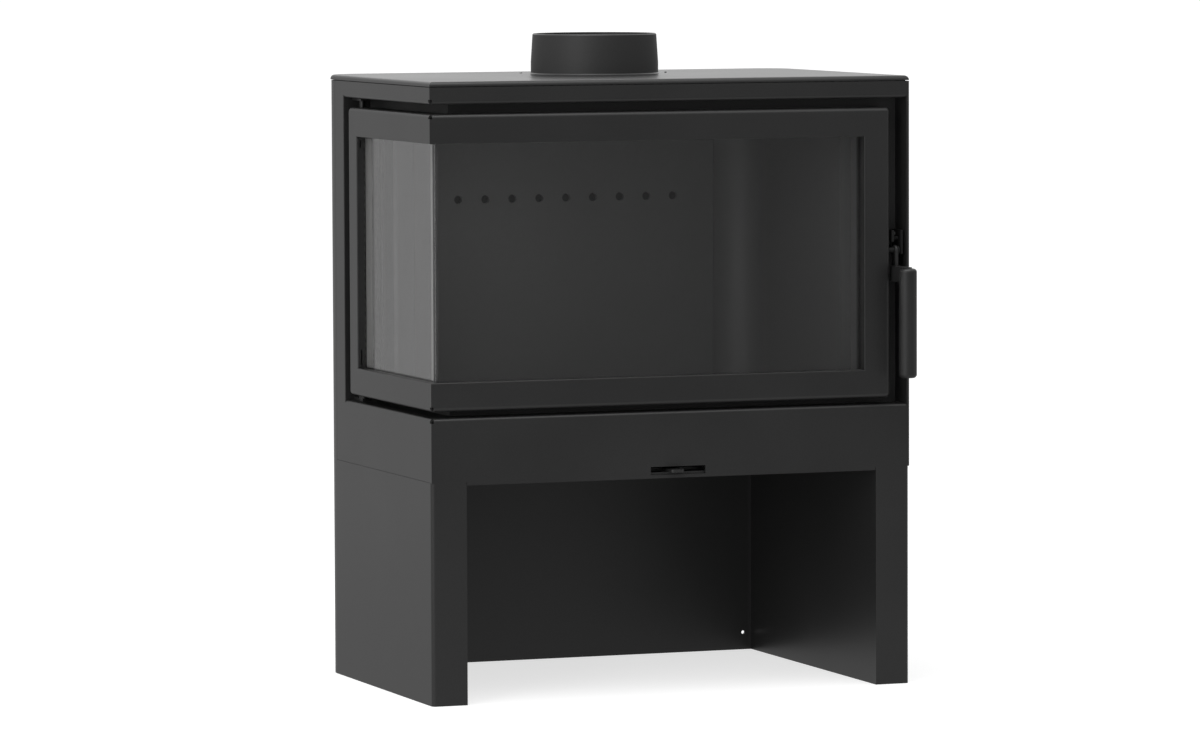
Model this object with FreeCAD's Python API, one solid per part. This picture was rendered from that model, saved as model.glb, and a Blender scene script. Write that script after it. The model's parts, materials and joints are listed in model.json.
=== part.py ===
import FreeCAD, Part
import math
import os

from FreeCAD import Vector

# A freestanding wood stove with an L-shaped corner glass door, on a log-store base, in millimetres.
# X runs to the right, Y from the front to the back and Z up from the floor.
# While the pieces are drawn, Y is zero on the front face; each piece is centred in depth when it is saved.

# Overall sizes
stove_width = 700.0
body_depth = 466.0
base_height = 303.0
casing_height = 533.0
rear_corner_radius = 55.0
casing_sheet = 3.5
firebox_plate = 4.0

# Fits and cuts
running_gap = 0.3
pin_clearance = 0.08
brick_joint = 0.5
lining_joint = 0.8
sheet_joint = 0.4
least_land = 0.3
overrun = 5.0

# Log-store base
base_sheet = 3.0
pillar_width = 50.0
pillar_fold_radius = 6.0
cover_rear_flange = 1.0
base_top_thickness = 4.5
base_top_side_gap = 0.5
foot_plate_thickness = 3.0
fixing_hole_radius = 2.5
fixing_hole_height = 25.0
fixing_hole_edge = 6.5

# Casing round the firebox
lower_panel_height = 87.0
fascia_height = 23.0
column_width = 37.0
column_lap = 12.0
seam_setback = 6.5
recess_depth = 40.0
fold_radius = 5.0
column_edge_radius = 1.0
notch_width = 4.0
notch_depth = 5.5
notch_height = 6.5
tab_height = 13.0
tab_rise = 39.5
vent_slot_width = 8.0
vent_slot_height = 60.0
vent_slot_pitch = 32.0
vent_slot_count = 12
vent_edge_margin = 45.0

# Top plate and flue collar
gasket_thickness = 1.0
gasket_inset = 4.0
gasket_width = 14.0
top_plate_thickness = 6.5
top_edge_radius = 5.8
top_corner_radius = 50.0
flue_from_back = 164.0
flue_bore_radius = 82.0
collar_neck_radius = 86.0
collar_seat_radius = 89.5
collar_rim_radius = 87.0
collar_seat_length = 12.0
collar_rise = 56.5
collar_foot_gap = 3.0
collar_foot_slope = 1.5
collar_hole_clearance = 1.5
flange_radius = 114.0
flange_thickness = 6.0
flange_bolt_circle = 98.0
flange_bolt_count = 6
flange_bolt_start_share = 0.5
bolt_radius = 4.0
bolt_head_radius = 6.5
bolt_head_height = 5.0
bolt_head_sides = 6
bolt_hole_clearance = 0.2
top_screw_circle = 107.0
top_screw_angles = (0.0, 145.0)
top_screw_radius = 1.25
top_screw_head_radius = 1.6
top_screw_head_height = 1.4

# Door of folded channels, with two panes meeting at the front left corner
door_right_gap = 24.5
door_top_gap = 13.0
door_bottom_gap = 9.0
door_rear_gap = 19.2
door_sheet = 3.0
top_rail_width = 40.0
bottom_rail_width = 39.0
right_stile_width = 39.0
rear_stile_width = 38.0
door_edge_radius = 6.0
reveal_edge_radius = 1.5
reveal_depth = 10.5
glass_seal_thickness = 1.2
glass_seal_width = 8.0
glass_thickness = 4.0
glass_lap = 12.0
corner_seal_width = 7.0
door_back_thickness = 3.0
back_window_margin = 6.0
seal_depth = 10.0
seal_inset = 20.0
seal_width = 12.0
seal_land_margin = 1.0
clip_length = 30.0
clip_width = 6.0
clip_edge_margin = 6.5
clip_end_share = 0.22
slot_width = 2.0
slot_depth = 4.6
upper_slot_length = 11.0
lower_slot_length = 22.0
slot_end_gap = 4.0

# Hinges at the rear left of the door
hinge_from_left = 17.0
hinge_from_rear = 14.5
hinge_pin_radius = 4.0
hinge_pin_reach = 11.0
hinge_collar_radius = 7.0
hinge_bracket_thickness = 4.0
hinge_bracket_side = 4.0
hinge_bracket_end = 9.0
hinge_bracket_nose = 4.5

# Firebox shell and its linings
right_air_gap = 50.0
rear_air_gap = 22.0
roof_drop = 36.0
hearth_drop = 40.0
brick_thickness = 25.0
plenum_depth = 10.5
lining_plate = 6.0
side_lining_gap = 9.0
lining_corner_radius = 55.0
right_lining_setback = 37.0
left_lining_setback = 14.7
baffle_drop = 43.0
baffle_thickness = 20.0
baffle_front_gap = 106.0
air_hole_radius = 6.0
air_hole_margin = 63.2
air_hole_count = 9
air_hole_drop = 92.7
grate_length = 236.0
grate_width = 176.0
grate_thickness = 20.0
grate_forward = 20.25
grate_slot_width = 9.0
grate_slot_pitch = 20.0
grate_slot_count = 10
grate_slot_length = 110.0
ash_hole_length = 200.0
ash_hole_width = 140.0
ash_box_sheet = 3.0
ash_pan_sheet = 2.0
ash_pan_clearance = 3.0
ash_pan_headroom = 17.5
ash_port_height = 20.0
ash_port_width = 90.0

# Air control
air_slot_length = 80.0
air_slot_height = 11.3
air_slot_centre = 6.5
tab_width = 20.0
tab_reach = 13.0
tab_corner_radius = 6.0
tab_centre = 2.0
slide_thickness = 4.0
slide_length = 124.0
slide_depth = 68.0
slide_from_front = 24.0
port_width = 14.0
port_depth = 30.0
port_pitch = 36.0
port_count = 3
rail_height = 9.0
rail_thickness = 6.0
rail_lip = 7.0
front_guide_length = 20.0
front_guide_clearance = 8.0

# Latch and handle
pivot_rise = 203.0
stud_radius = 4.0
stud_head_radius = 6.0
stud_head_thickness = 2.0
lever_thickness = 4.5
lever_offset = 9.0
lever_hub_radius = 7.0
lever_width = 12.0
lever_edge_radius = 1.8
keeper_rise = 16.0
keeper_setback = 8.5
keeper_radius = 3.0
hook_clearance = 0.4
hook_thickness = 4.4
hook_back_gap = 0.6
hook_web_start = -14.0
hook_web_end = 26.0
hook_tip = 80.0
hook_sweep_overrun = 1.0
bracket_sheet = 3.5
bracket_inner_width = 10.0
bracket_nose = 12.5
bracket_headroom = 12.0
bracket_left_drop = 4.0
bracket_right_drop = 21.0
bracket_lever_gap = 1.0
arm_drop = 21.5
arm_height = 21.0
arm_thickness = 12.0
grip_radius = 12.3
grip_length = 151.0
grip_drop = 1.5
grip_standoff = 38.0
grip_offset = 2.6
grip_edge_radius = 5.0

# Places that follow from the sizes
half_width = stove_width / 2
left_face = -half_width
right_face = half_width
left_inner = left_face + casing_sheet
right_inner = right_face - casing_sheet
back_inner = body_depth - casing_sheet
base_back_inner = body_depth - base_sheet
pillar_bend_radius = rear_corner_radius - base_sheet
pillar_bend_reach = max(rear_corner_radius - pillar_width + base_sheet, 0)
pillar_rear = body_depth - rear_corner_radius + math.sqrt(pillar_bend_radius**2 - pillar_bend_reach**2)
casing_top = base_height + casing_height
window_bottom = base_height + lower_panel_height
window_top = casing_top - fascia_height
top_plate_bottom = casing_top + gasket_thickness
top_plate_top = top_plate_bottom + top_plate_thickness
side_seam = body_depth - rear_corner_radius - seam_setback
column_front = side_seam - column_width
flue_middle = body_depth - flue_from_back

door_depth = recess_depth - seal_depth
door_left = left_face
door_right = right_inner - door_right_gap
door_bottom = window_bottom + door_bottom_gap
door_top = window_top - door_top_gap
door_rear = column_front - door_rear_gap
open_right = door_right - right_stile_width
open_bottom = door_bottom + bottom_rail_width
open_top = door_top - top_rail_width
open_rear = door_rear - rear_stile_width
glass_face = reveal_depth + glass_seal_thickness
glass_back = glass_face + glass_thickness
glass_bottom = open_bottom - glass_lap
glass_top = open_top + glass_lap
glass_right = open_right + glass_lap
glass_rear = open_rear + glass_lap
glass_left = door_left + glass_face
side_glass_front = glass_back + corner_seal_width
door_back_face = door_depth - door_back_thickness
seal_back = recess_depth - running_gap
seal_land = seal_inset + seal_width + seal_land_margin
hinge_x = door_left + hinge_from_left
hinge_y = door_rear - hinge_from_rear

frame_front = recess_depth
frame_back = frame_front + firebox_plate
frame_left = left_face + recess_depth
shell_left = frame_left + firebox_plate
frame_open_right = door_right - seal_land
frame_open_rear = door_rear - seal_land
frame_open_bottom = door_bottom + seal_land
frame_open_top = door_top - seal_land
frame_head = window_top + casing_sheet
shell_right = right_face - right_air_gap
shell_right_inner = shell_right - firebox_plate
shell_back = back_inner - rear_air_gap
shell_back_inner = shell_back - firebox_plate
hearth_top = open_bottom - hearth_drop
floor_top = hearth_top - brick_thickness
floor_bottom = floor_top - firebox_plate
roof_top = casing_top - roof_drop
roof_bottom = roof_top - firebox_plate
lining_top = roof_top - baffle_drop
back_lining_face = shell_back_inner - plenum_depth - lining_plate
side_lining_face = shell_right_inner - side_lining_gap - lining_plate
back_lining_half = side_lining_face - lining_corner_radius
right_lining_front = frame_back + right_lining_setback
left_lining_front = frame_open_rear + left_lining_setback
baffle_front = frame_back + baffle_front_gap
grate_middle = (frame_back + shell_back_inner) / 2 - grate_forward
casing_floor_top = base_height + casing_sheet

pivot_height = door_bottom + pivot_rise
keeper_height = pivot_height + keeper_rise
hook_inner_radius = math.hypot(keeper_setback, keeper_rise) + keeper_radius + hook_clearance
hook_outer_radius = hook_inner_radius + hook_thickness
pivot_from_front = frame_front - bracket_sheet - hook_back_gap - hook_outer_radius
keeper_from_front = pivot_from_front + keeper_setback
lever_left = door_right + lever_offset
lever_right = lever_left + lever_thickness
bracket_left_inner = lever_left - bracket_lever_gap
bracket_right_inner = bracket_left_inner + bracket_inner_width
bracket_top = keeper_height + bracket_headroom
bracket_left_bottom = keeper_height - bracket_left_drop
bracket_right_bottom = keeper_height - bracket_right_drop
bracket_front = keeper_from_front - bracket_nose
arm_top = pivot_height - arm_drop
arm_bottom = arm_top - arm_height
grip_top = arm_top - grip_drop
grip_x = (lever_left + bracket_right_inner) / 2 - bracket_lever_gap - grip_offset
front_shift = (grip_radius + grip_standoff - body_depth) / 2


def in_plan(z):
    return lambda x, y: Vector(x, y, z)


def in_front_view(y):
    return lambda x, z: Vector(x, y, z)


def in_side_view(x):
    return lambda y, z: Vector(x, y, z)


def rounded_face(corners, place):
    # Each corner is (across, up, radius); a radius of zero leaves the corner sharp.
    spots = [Vector(across, up, 0) for across, up, radius in corners]
    bends = []
    for number, (across, up, radius) in enumerate(corners):
        here = spots[number]
        to_last = (spots[number - 1] - here).normalize()
        to_next = (spots[(number + 1) % len(spots)] - here).normalize()
        half_turn = to_last.getAngle(to_next) / 2
        reach = radius / math.tan(half_turn)
        centre = here + (to_last + to_next).normalize() * (radius / math.sin(half_turn))
        middle = centre + (here - centre).normalize() * radius if radius else here
        bends.append((here + to_last * reach, middle, here + to_next * reach))
    edges = []
    for number, (start, middle, finish) in enumerate(bends):
        last = bends[number - 1][2]
        if not last.isEqual(start, Part.Precision.confusion()):
            edges.append(Part.LineSegment(place(last.x, last.y), place(start.x, start.y)).toShape())
        if corners[number][2]:
            turn = [place(spot.x, spot.y) for spot in (start, middle, finish)]
            edges.append(Part.Arc(*turn).toShape())
    return Part.Face(Part.Wire(edges))


def flat_prism(points, place, run):
    corners = [(across, up, 0) for across, up in points]
    return rounded_face(corners, place).extrude(run)


def block(x0, x1, y0, y1, z0, z1):
    return Part.makeBox(x1 - x0, y1 - y0, z1 - z0, Vector(x0, y0, z0))


def on_level(value, level):
    return abs(value - level) < Part.Precision.confusion()


def joined(shapes):
    return shapes[0].multiFuse(shapes[1:]).removeSplitter()


def upright_outline(inset, z0, z1, corner_radius=rear_corner_radius):
    # The stove's plan, square in front and rounded behind, drawn in by an inset.
    radius = corner_radius - inset
    corners = [
        (left_face + inset, inset, 0),
        (left_face + inset, body_depth - inset, radius),
        (right_face - inset, body_depth - inset, radius),
        (right_face - inset, inset, 0),
    ]
    return rounded_face(corners, in_plan(z0)).extrude(Vector(0, 0, z1 - z0))


def corner_notch(z0, z1):
    return block(left_face - overrun, left_face + notch_width, -overrun, notch_depth, z0, z1)


# Log-store base


def base_left_cover():
    corners = [
        (left_face + pillar_width, 0, 0),
        (left_face, 0, pillar_fold_radius),
        (left_face, body_depth, rear_corner_radius),
        (left_face + rear_corner_radius + cover_rear_flange, body_depth, 0),
        (left_face + rear_corner_radius + cover_rear_flange, base_back_inner, 0),
        (left_face + base_sheet, base_back_inner, rear_corner_radius - base_sheet),
        (left_face + base_sheet, base_sheet, pillar_fold_radius - base_sheet),
        (left_face + pillar_width, base_sheet, 0),
    ]
    return rounded_face(corners, in_plan(0)).extrude(Vector(0, 0, base_height))


def base_right_cover():
    return base_left_cover().mirror(Vector(0, 0, 0), Vector(1, 0, 0))


def base_left_inner():
    inner = left_face + pillar_width
    return block(inner - base_sheet, inner, base_sheet, pillar_rear, 0, base_height)


def base_right_inner():
    return base_left_inner().mirror(Vector(0, 0, 0), Vector(1, 0, 0))


def base_back_panel():
    reach = half_width - rear_corner_radius - cover_rear_flange
    panel = block(-reach, reach, base_back_inner, body_depth, 0, base_height)
    for hole_x in (fixing_hole_edge - reach, reach - fixing_hole_edge):
        start = Vector(hole_x, base_back_inner - overrun, fixing_hole_height)
        panel = panel.cut(
            Part.makeCylinder(fixing_hole_radius, base_sheet + overrun * 2, start, Vector(0, 1, 0))
        )
    return panel


def base_top_plate():
    reach = half_width - pillar_width - base_top_side_gap
    plate = block(-reach, reach, 0, pillar_rear, base_height - base_top_thickness, base_height)
    return plate.cut(air_ports(0, base_height - base_top_thickness - overrun, base_height + overrun))


def base_foot_plates():
    corners = [
        (left_face + base_sheet, base_sheet, pillar_fold_radius - base_sheet),
        (left_face + base_sheet, base_back_inner, rear_corner_radius - base_sheet),
        (left_face + pillar_width, base_back_inner, 0),
        (left_face + pillar_width, base_sheet, 0),
    ]
    plate = rounded_face(corners, in_plan(0)).extrude(Vector(0, 0, foot_plate_thickness))
    plate = plate.cut(base_left_inner())
    left = max(plate.Solids, key=lambda solid: solid.Volume)
    return Part.makeCompound([left, left.mirror(Vector(0, 0, 0), Vector(1, 0, 0))])


# Casing


def folded_edge(depth, height, radius):
    # An upright sheet with its top edge folded back, as (depth, height) corners from the fold.
    return [
        (0, -height, 0),
        (0, 0, radius),
        (depth, 0, 0),
        (depth, -casing_sheet, 0),
        (casing_sheet, -casing_sheet, max(radius - casing_sheet, 0)),
        (casing_sheet, -height, 0),
    ]


def casing_floor():
    plate = upright_outline(casing_sheet, base_height, casing_floor_top)
    return plate.cut(air_ports(0, base_height - overrun, casing_floor_top + overrun))


def lower_front_panel():
    panel = rounded_face(
        folded_edge(recess_depth, lower_panel_height, fold_radius),
        lambda depth, rise: Vector(left_face, depth, window_bottom + rise),
    ).extrude(Vector(right_inner - left_face, 0, 0))
    tab = block(
        right_inner, right_face, 0, casing_sheet, base_height + tab_rise, base_height + tab_rise + tab_height
    )
    slot = block(
        air_slot_centre - air_slot_length / 2,
        air_slot_centre + air_slot_length / 2,
        -overrun,
        casing_sheet + overrun,
        base_height - overrun,
        base_height + air_slot_height,
    )
    panel = joined([panel, tab]).cut(slot)
    panel = panel.cut(left_return_room(window_bottom - fold_radius, window_bottom))
    return panel.cut(corner_notch(window_bottom - notch_height, window_bottom + overrun))


def left_return_room(z0, z1):
    # The side panel's own fold fills the corner behind the front sheet.
    return block(left_face - overrun, frame_left, casing_sheet, recess_depth + overrun, z0, z1)


def top_front_fascia():
    fascia = rounded_face(
        folded_edge(recess_depth, fascia_height, fold_radius),
        lambda depth, rise: Vector(left_face, depth, window_top - rise),
    ).extrude(Vector(right_inner - left_face, 0, 0))
    fascia = fascia.cut(left_return_room(window_top, window_top + fold_radius))
    return fascia.cut(corner_notch(window_top - overrun, window_top + notch_height))


def left_side_panel():
    run = Vector(0, side_seam - sheet_joint - casing_sheet, 0)
    lower = rounded_face(
        folded_edge(recess_depth, lower_panel_height - sheet_joint, fold_radius),
        lambda depth, rise: Vector(left_face + depth, casing_sheet, window_bottom + rise),
    ).extrude(run)
    upper = rounded_face(
        folded_edge(recess_depth, fascia_height, fold_radius),
        lambda depth, rise: Vector(left_face + depth, casing_sheet, window_top - rise),
    ).extrude(run)
    column = rounded_face(
        folded_edge(recess_depth, column_width - sheet_joint, column_edge_radius),
        lambda depth, rise: Vector(left_face + depth, column_front - rise, window_bottom - column_lap),
    ).extrude(Vector(0, 0, window_top - window_bottom + column_lap * 2))
    panel = joined([lower, upper, column])
    for z0, z1 in (
        (window_bottom - notch_height, window_bottom + overrun),
        (window_top - overrun, window_top + notch_height),
    ):
        panel = panel.cut(corner_notch(z0, z1))
    return panel


def right_side_panel():
    panel = block(right_inner, right_face, 0, side_seam, base_height, casing_top)
    tab_slot = block(
        right_inner,
        right_face,
        0,
        casing_sheet,
        base_height + tab_rise,
        base_height + tab_rise + tab_height,
    )
    return panel.cut(tab_slot)


def vent_slot(x, z0):
    radius = vent_slot_width / 2
    corners = [
        (x - radius, z0, radius),
        (x - radius, z0 + vent_slot_height, radius),
        (x + radius, z0 + vent_slot_height, radius),
        (x + radius, z0, radius),
    ]
    return rounded_face(corners, in_front_view(back_inner - overrun)).extrude(
        Vector(0, casing_sheet + overrun * 2, 0)
    )


def rear_casing():
    shell = upright_outline(0, base_height, casing_top)
    shell = shell.cut(upright_outline(casing_sheet, base_height - overrun, casing_top + overrun))
    front_part = block(
        left_face - overrun,
        right_face + overrun,
        -overrun,
        side_seam,
        base_height - overrun,
        casing_top + overrun,
    )
    shell = shell.cut(front_part)
    first = -vent_slot_pitch * (vent_slot_count - 1) / 2
    for row_start in (
        base_height + vent_edge_margin,
        casing_top - vent_edge_margin - vent_slot_height,
    ):
        for number in range(vent_slot_count):
            shell = shell.cut(vent_slot(first + vent_slot_pitch * number, row_start))
    return shell


def top_plate():
    plate = upright_outline(0, top_plate_bottom, top_plate_top, top_corner_radius)
    rim = [
        edge
        for edge in plate.Edges
        if all(on_level(corner.Z, top_plate_top) for corner in edge.Vertexes)
    ]
    plate = plate.makeFillet(min(top_edge_radius, top_plate_thickness - least_land), rim)
    hole = Part.makeCylinder(
        collar_neck_radius + collar_hole_clearance,
        top_plate_thickness + overrun * 2,
        Vector(0, flue_middle, top_plate_bottom - overrun),
    )
    plate = plate.cut(hole)
    for spot in top_screw_spots(top_plate_bottom - overrun):
        plate = plate.cut(
            Part.makeCylinder(
                top_screw_radius + bolt_hole_clearance, top_plate_thickness + overrun * 2, spot
            )
        )
    return plate


def top_plate_gasket():
    ring = upright_outline(gasket_inset, casing_top, top_plate_bottom)
    hollow = upright_outline(gasket_inset + gasket_width, casing_top - overrun, top_plate_bottom + overrun)
    return ring.cut(hollow)


def top_screw_spots(z):
    return [
        Vector(
            top_screw_circle * math.cos(math.radians(angle)),
            flue_middle + top_screw_circle * math.sin(math.radians(angle)),
            z,
        )
        for angle in top_screw_angles
    ]


def top_plate_screws():
    seat = roof_top + flange_thickness
    screws = []
    for spot in top_screw_spots(seat):
        shank = Part.makeCylinder(top_screw_radius, top_plate_top - seat, spot)
        head_spot = Vector(spot.x, spot.y, top_plate_top)
        head = Part.makeCylinder(top_screw_head_radius, top_screw_head_height, head_spot)
        screws.append(joined([shank, head]))
    return Part.makeCompound(screws)


# Flue collar


def flue_collar():
    neck_top = top_plate_top + collar_foot_gap
    seat_bottom = neck_top + collar_foot_slope
    rim = top_plate_top + collar_rise
    corners = [
        (flue_bore_radius, roof_top, 0),
        (flange_radius, roof_top, 0),
        (flange_radius, roof_top + flange_thickness, 0),
        (collar_neck_radius, roof_top + flange_thickness, 0),
        (collar_neck_radius, neck_top, 0),
        (collar_seat_radius, seat_bottom, 0),
        (collar_seat_radius, seat_bottom + collar_seat_length, 0),
        (collar_rim_radius, rim, 0),
        (flue_bore_radius, rim, 0),
    ]
    half_section = rounded_face(corners, lambda radius, z: Vector(radius, flue_middle, z))
    collar = half_section.revolve(Vector(0, flue_middle, 0), Vector(0, 0, 1), 360)
    for spot in flange_bolt_spots(roof_top - overrun):
        collar = collar.cut(
            Part.makeCylinder(bolt_radius + bolt_hole_clearance, flange_thickness + overrun * 2, spot)
        )
    return collar


def flange_bolt_spots(z):
    step = 360 / flange_bolt_count
    spots = []
    for number in range(flange_bolt_count):
        angle = math.radians(step * (number + flange_bolt_start_share))
        spots.append(
            Vector(
                flange_bolt_circle * math.cos(angle),
                flue_middle + flange_bolt_circle * math.sin(angle),
                z,
            )
        )
    return spots


def bolt_head(spot, z):
    step = 360 / bolt_head_sides
    corners = []
    for number in range(bolt_head_sides):
        angle = math.radians(step * number)
        across = spot.x + bolt_head_radius * math.cos(angle)
        corners.append((across, spot.y + bolt_head_radius * math.sin(angle)))
    return flat_prism(corners, in_plan(z), Vector(0, 0, bolt_head_height))


def flue_collar_bolts():
    seat = roof_top + flange_thickness
    bolts = []
    for spot in flange_bolt_spots(roof_bottom):
        shank = Part.makeCylinder(bolt_radius, seat - roof_bottom, spot)
        head = bolt_head(spot, seat)
        bolts.append(joined([shank, head]))
    return Part.makeCompound(bolts)


# Firebox shell


def frame_front_top():
    return block(frame_left, right_inner, frame_front, frame_back, frame_open_top, frame_head)


def frame_front_bottom():
    return block(frame_left, right_inner, frame_front, frame_back, floor_bottom, frame_open_bottom)


def frame_right_jamb():
    return block(
        frame_open_right, right_inner, frame_front, frame_back, frame_open_bottom, frame_open_top
    )


def frame_side_top():
    return block(frame_left, shell_left, frame_back, shell_back, frame_open_top, frame_head)


def frame_side_bottom():
    return block(frame_left, shell_left, frame_back, shell_back, floor_bottom, frame_open_bottom)


def frame_rear_jamb():
    return block(
        frame_left, shell_left, frame_open_rear, shell_back, frame_open_bottom, frame_open_top
    )


def firebox_floor():
    plate = block(shell_left, shell_right, frame_back, shell_back, floor_bottom, floor_top)
    hole = block(
        -ash_hole_length / 2,
        ash_hole_length / 2,
        grate_middle - ash_hole_width / 2,
        grate_middle + ash_hole_width / 2,
        floor_bottom - overrun,
        floor_top + overrun,
    )
    return plate.cut(hole)


def firebox_back():
    return block(shell_left, shell_right, shell_back_inner, shell_back, floor_top, roof_bottom)


def firebox_right():
    return block(shell_right_inner, shell_right, frame_back, shell_back_inner, floor_top, roof_bottom)


def firebox_roof():
    plate = block(shell_left, shell_right, frame_back, shell_back, roof_bottom, roof_top)
    plate = plate.cut(
        Part.makeCylinder(
            flue_bore_radius,
            firebox_plate + overrun * 2,
            Vector(0, flue_middle, roof_bottom - overrun),
        )
    )
    for spot in flange_bolt_spots(roof_bottom - overrun):
        plate = plate.cut(
            Part.makeCylinder(bolt_radius + bolt_hole_clearance, firebox_plate + overrun * 2, spot)
        )
    return plate


# Linings, hearth and ash pan


def back_lining():
    reach = back_lining_half - lining_joint
    panel = block(-reach, reach, back_lining_face, shell_back_inner, hearth_top, lining_top)
    panel = panel.cut(
        block(
            -reach + lining_plate,
            reach - lining_plate,
            back_lining_face + lining_plate,
            shell_back_inner + overrun,
            hearth_top + lining_plate,
            lining_top - lining_plate,
        )
    )
    first = air_hole_margin - back_lining_half
    pitch = -first * 2 / (air_hole_count - 1)
    for number in range(air_hole_count):
        start = Vector(first + pitch * number, back_lining_face - overrun, lining_top - air_hole_drop)
        panel = panel.cut(
            Part.makeCylinder(air_hole_radius, lining_plate + overrun * 2, start, Vector(0, 1, 0))
        )
    return panel


def side_lining(front):
    outer = side_lining_face + lining_plate
    corners = [
        (back_lining_half, back_lining_face, 0),
        (side_lining_face, back_lining_face, lining_corner_radius),
        (side_lining_face, front, 0),
        (outer, front, 0),
        (outer, back_lining_face + lining_plate, lining_corner_radius + lining_plate),
        (back_lining_half, back_lining_face + lining_plate, 0),
    ]
    return rounded_face(corners, in_plan(hearth_top)).extrude(Vector(0, 0, lining_top - hearth_top))


def right_lining():
    # Its front edge is folded out to the firebox plate.
    fold = block(
        side_lining_face,
        shell_right_inner,
        right_lining_front,
        right_lining_front + lining_plate,
        hearth_top,
        lining_top,
    )
    return joined([side_lining(right_lining_front), fold])


def left_lining():
    return side_lining(left_lining_front).mirror(Vector(0, 0, 0), Vector(1, 0, 0))


def hearth_bricks():
    left = shell_left + brick_joint
    right = shell_right_inner - brick_joint
    front = frame_back + brick_joint
    back = shell_back_inner - brick_joint
    grate_side = grate_length / 2
    grate_front = grate_middle - grate_width / 2 - brick_joint
    grate_back = grate_middle + grate_width / 2 + brick_joint
    return Part.makeCompound(
        [
            block(left, -grate_side - brick_joint, front, back, floor_top, hearth_top),
            block(grate_side + brick_joint, right, front, back, floor_top, hearth_top),
            block(-grate_side, grate_side, front, grate_front, floor_top, hearth_top),
            block(-grate_side, grate_side, grate_back, back, floor_top, hearth_top),
        ]
    )


def grate():
    plate = block(
        -grate_length / 2,
        grate_length / 2,
        grate_middle - grate_width / 2,
        grate_middle + grate_width / 2,
        floor_top,
        floor_top + grate_thickness,
    )
    first = -grate_slot_pitch * (grate_slot_count - 1) / 2
    slot_front = grate_middle - grate_slot_length / 2
    slot_back = grate_middle + grate_slot_length / 2
    radius = grate_slot_width / 2
    for number in range(grate_slot_count):
        middle = first + grate_slot_pitch * number
        corners = [
            (middle - radius, slot_front, radius),
            (middle - radius, slot_back, radius),
            (middle + radius, slot_back, radius),
            (middle + radius, slot_front, radius),
        ]
        slot = rounded_face(corners, in_plan(floor_top - overrun))
        plate = plate.cut(slot.extrude(Vector(0, 0, grate_thickness + overrun * 2)))
    return plate


def open_tray(half_length, half_depth, z0, z1, sheet):
    front = grate_middle - half_depth
    back = grate_middle + half_depth
    tray = block(-half_length, half_length, front, back, z0, z1)
    hollow = block(
        -half_length + sheet, half_length - sheet, front + sheet, back - sheet, z0 + sheet, z1 + overrun
    )
    return tray.cut(hollow)


def ash_box():
    box = open_tray(
        ash_hole_length / 2 + ash_box_sheet,
        ash_hole_width / 2 + ash_box_sheet,
        casing_floor_top,
        floor_bottom,
        ash_box_sheet,
    )
    front = grate_middle - ash_hole_width / 2
    port = block(
        -ash_port_width / 2,
        ash_port_width / 2,
        front - ash_box_sheet - overrun,
        front + overrun,
        floor_bottom - ash_port_height,
        floor_bottom - ash_box_sheet,
    )
    return box.cut(port)


def ash_pan():
    bottom = casing_floor_top + ash_box_sheet
    return open_tray(
        ash_hole_length / 2 - ash_pan_clearance,
        ash_hole_width / 2 - ash_pan_clearance,
        bottom,
        floor_bottom - ash_pan_headroom,
        ash_pan_sheet,
    )


def baffle_plate():
    reach = side_lining_face + lining_plate
    return block(
        -reach, reach, baffle_front, shell_back_inner, lining_top, lining_top + baffle_thickness
    )


# Air control


def air_ports(shift, z0, z1):
    first = tab_centre + shift - port_pitch * (port_count - 1) / 2
    front = slide_from_front + (slide_depth - port_depth) / 2
    ports = []
    for number in range(port_count):
        left = first + port_pitch * number - port_width / 2
        ports.append(block(left, left + port_width, front, front + port_depth, z0, z1))
    return Part.makeCompound(ports)


def air_slide():
    bottom = casing_floor_top + running_gap
    plate = block(
        tab_centre - slide_length / 2,
        tab_centre + slide_length / 2,
        slide_from_front,
        slide_from_front + slide_depth,
        bottom,
        bottom + slide_thickness,
    )
    corners = [
        (tab_centre - tab_width / 2, -tab_reach, tab_corner_radius),
        (tab_centre - tab_width / 2, slide_from_front + overrun, 0),
        (tab_centre + tab_width / 2, slide_from_front + overrun, 0),
        (tab_centre + tab_width / 2, -tab_reach, tab_corner_radius),
    ]
    tab = rounded_face(corners, in_plan(bottom)).extrude(Vector(0, 0, slide_thickness))
    slide = joined([plate, tab])
    return slide.cut(air_ports(port_pitch / 2, bottom - overrun, bottom + slide_thickness + overrun))


def air_rails():
    lip_bottom = casing_floor_top + slide_thickness + running_gap * 2
    top = casing_floor_top + rail_height
    slide_back = slide_from_front + slide_depth

    def rail(x0, x1, leg0, leg1, lip0, lip1):
        leg = block(x0, x1, leg0, leg1, casing_floor_top, top)
        lip = block(x0, x1, lip0, lip1, lip_bottom, top)
        return joined([leg, lip])

    rear = rail(
        tab_centre - slide_length / 2,
        tab_centre + slide_length / 2,
        slide_back + running_gap,
        slide_back + running_gap + rail_thickness,
        slide_back - rail_lip,
        slide_back + running_gap,
    )
    reach = air_slot_length / 2 + front_guide_clearance
    guides = []
    for start in (air_slot_centre - reach - front_guide_length, air_slot_centre + reach):
        guides.append(
            rail(
                start,
                start + front_guide_length,
                slide_from_front - running_gap - rail_thickness,
                slide_from_front - running_gap,
                slide_from_front - running_gap,
                slide_from_front + rail_lip,
            )
        )
    return Part.makeCompound([rear, *guides])


# Door


def channel(width):
    # Corners of a door channel: across from its outer edge, and back from its face.
    return [
        (0, door_depth, 0),
        (0, 0, door_edge_radius),
        (width, 0, reveal_edge_radius),
        (width, reveal_depth, 0),
        (width - door_sheet, reveal_depth, 0),
        (width - door_sheet, door_sheet, 0),
        (door_sheet, door_sheet, door_edge_radius - door_sheet),
        (door_sheet, door_depth, 0),
    ]


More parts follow.
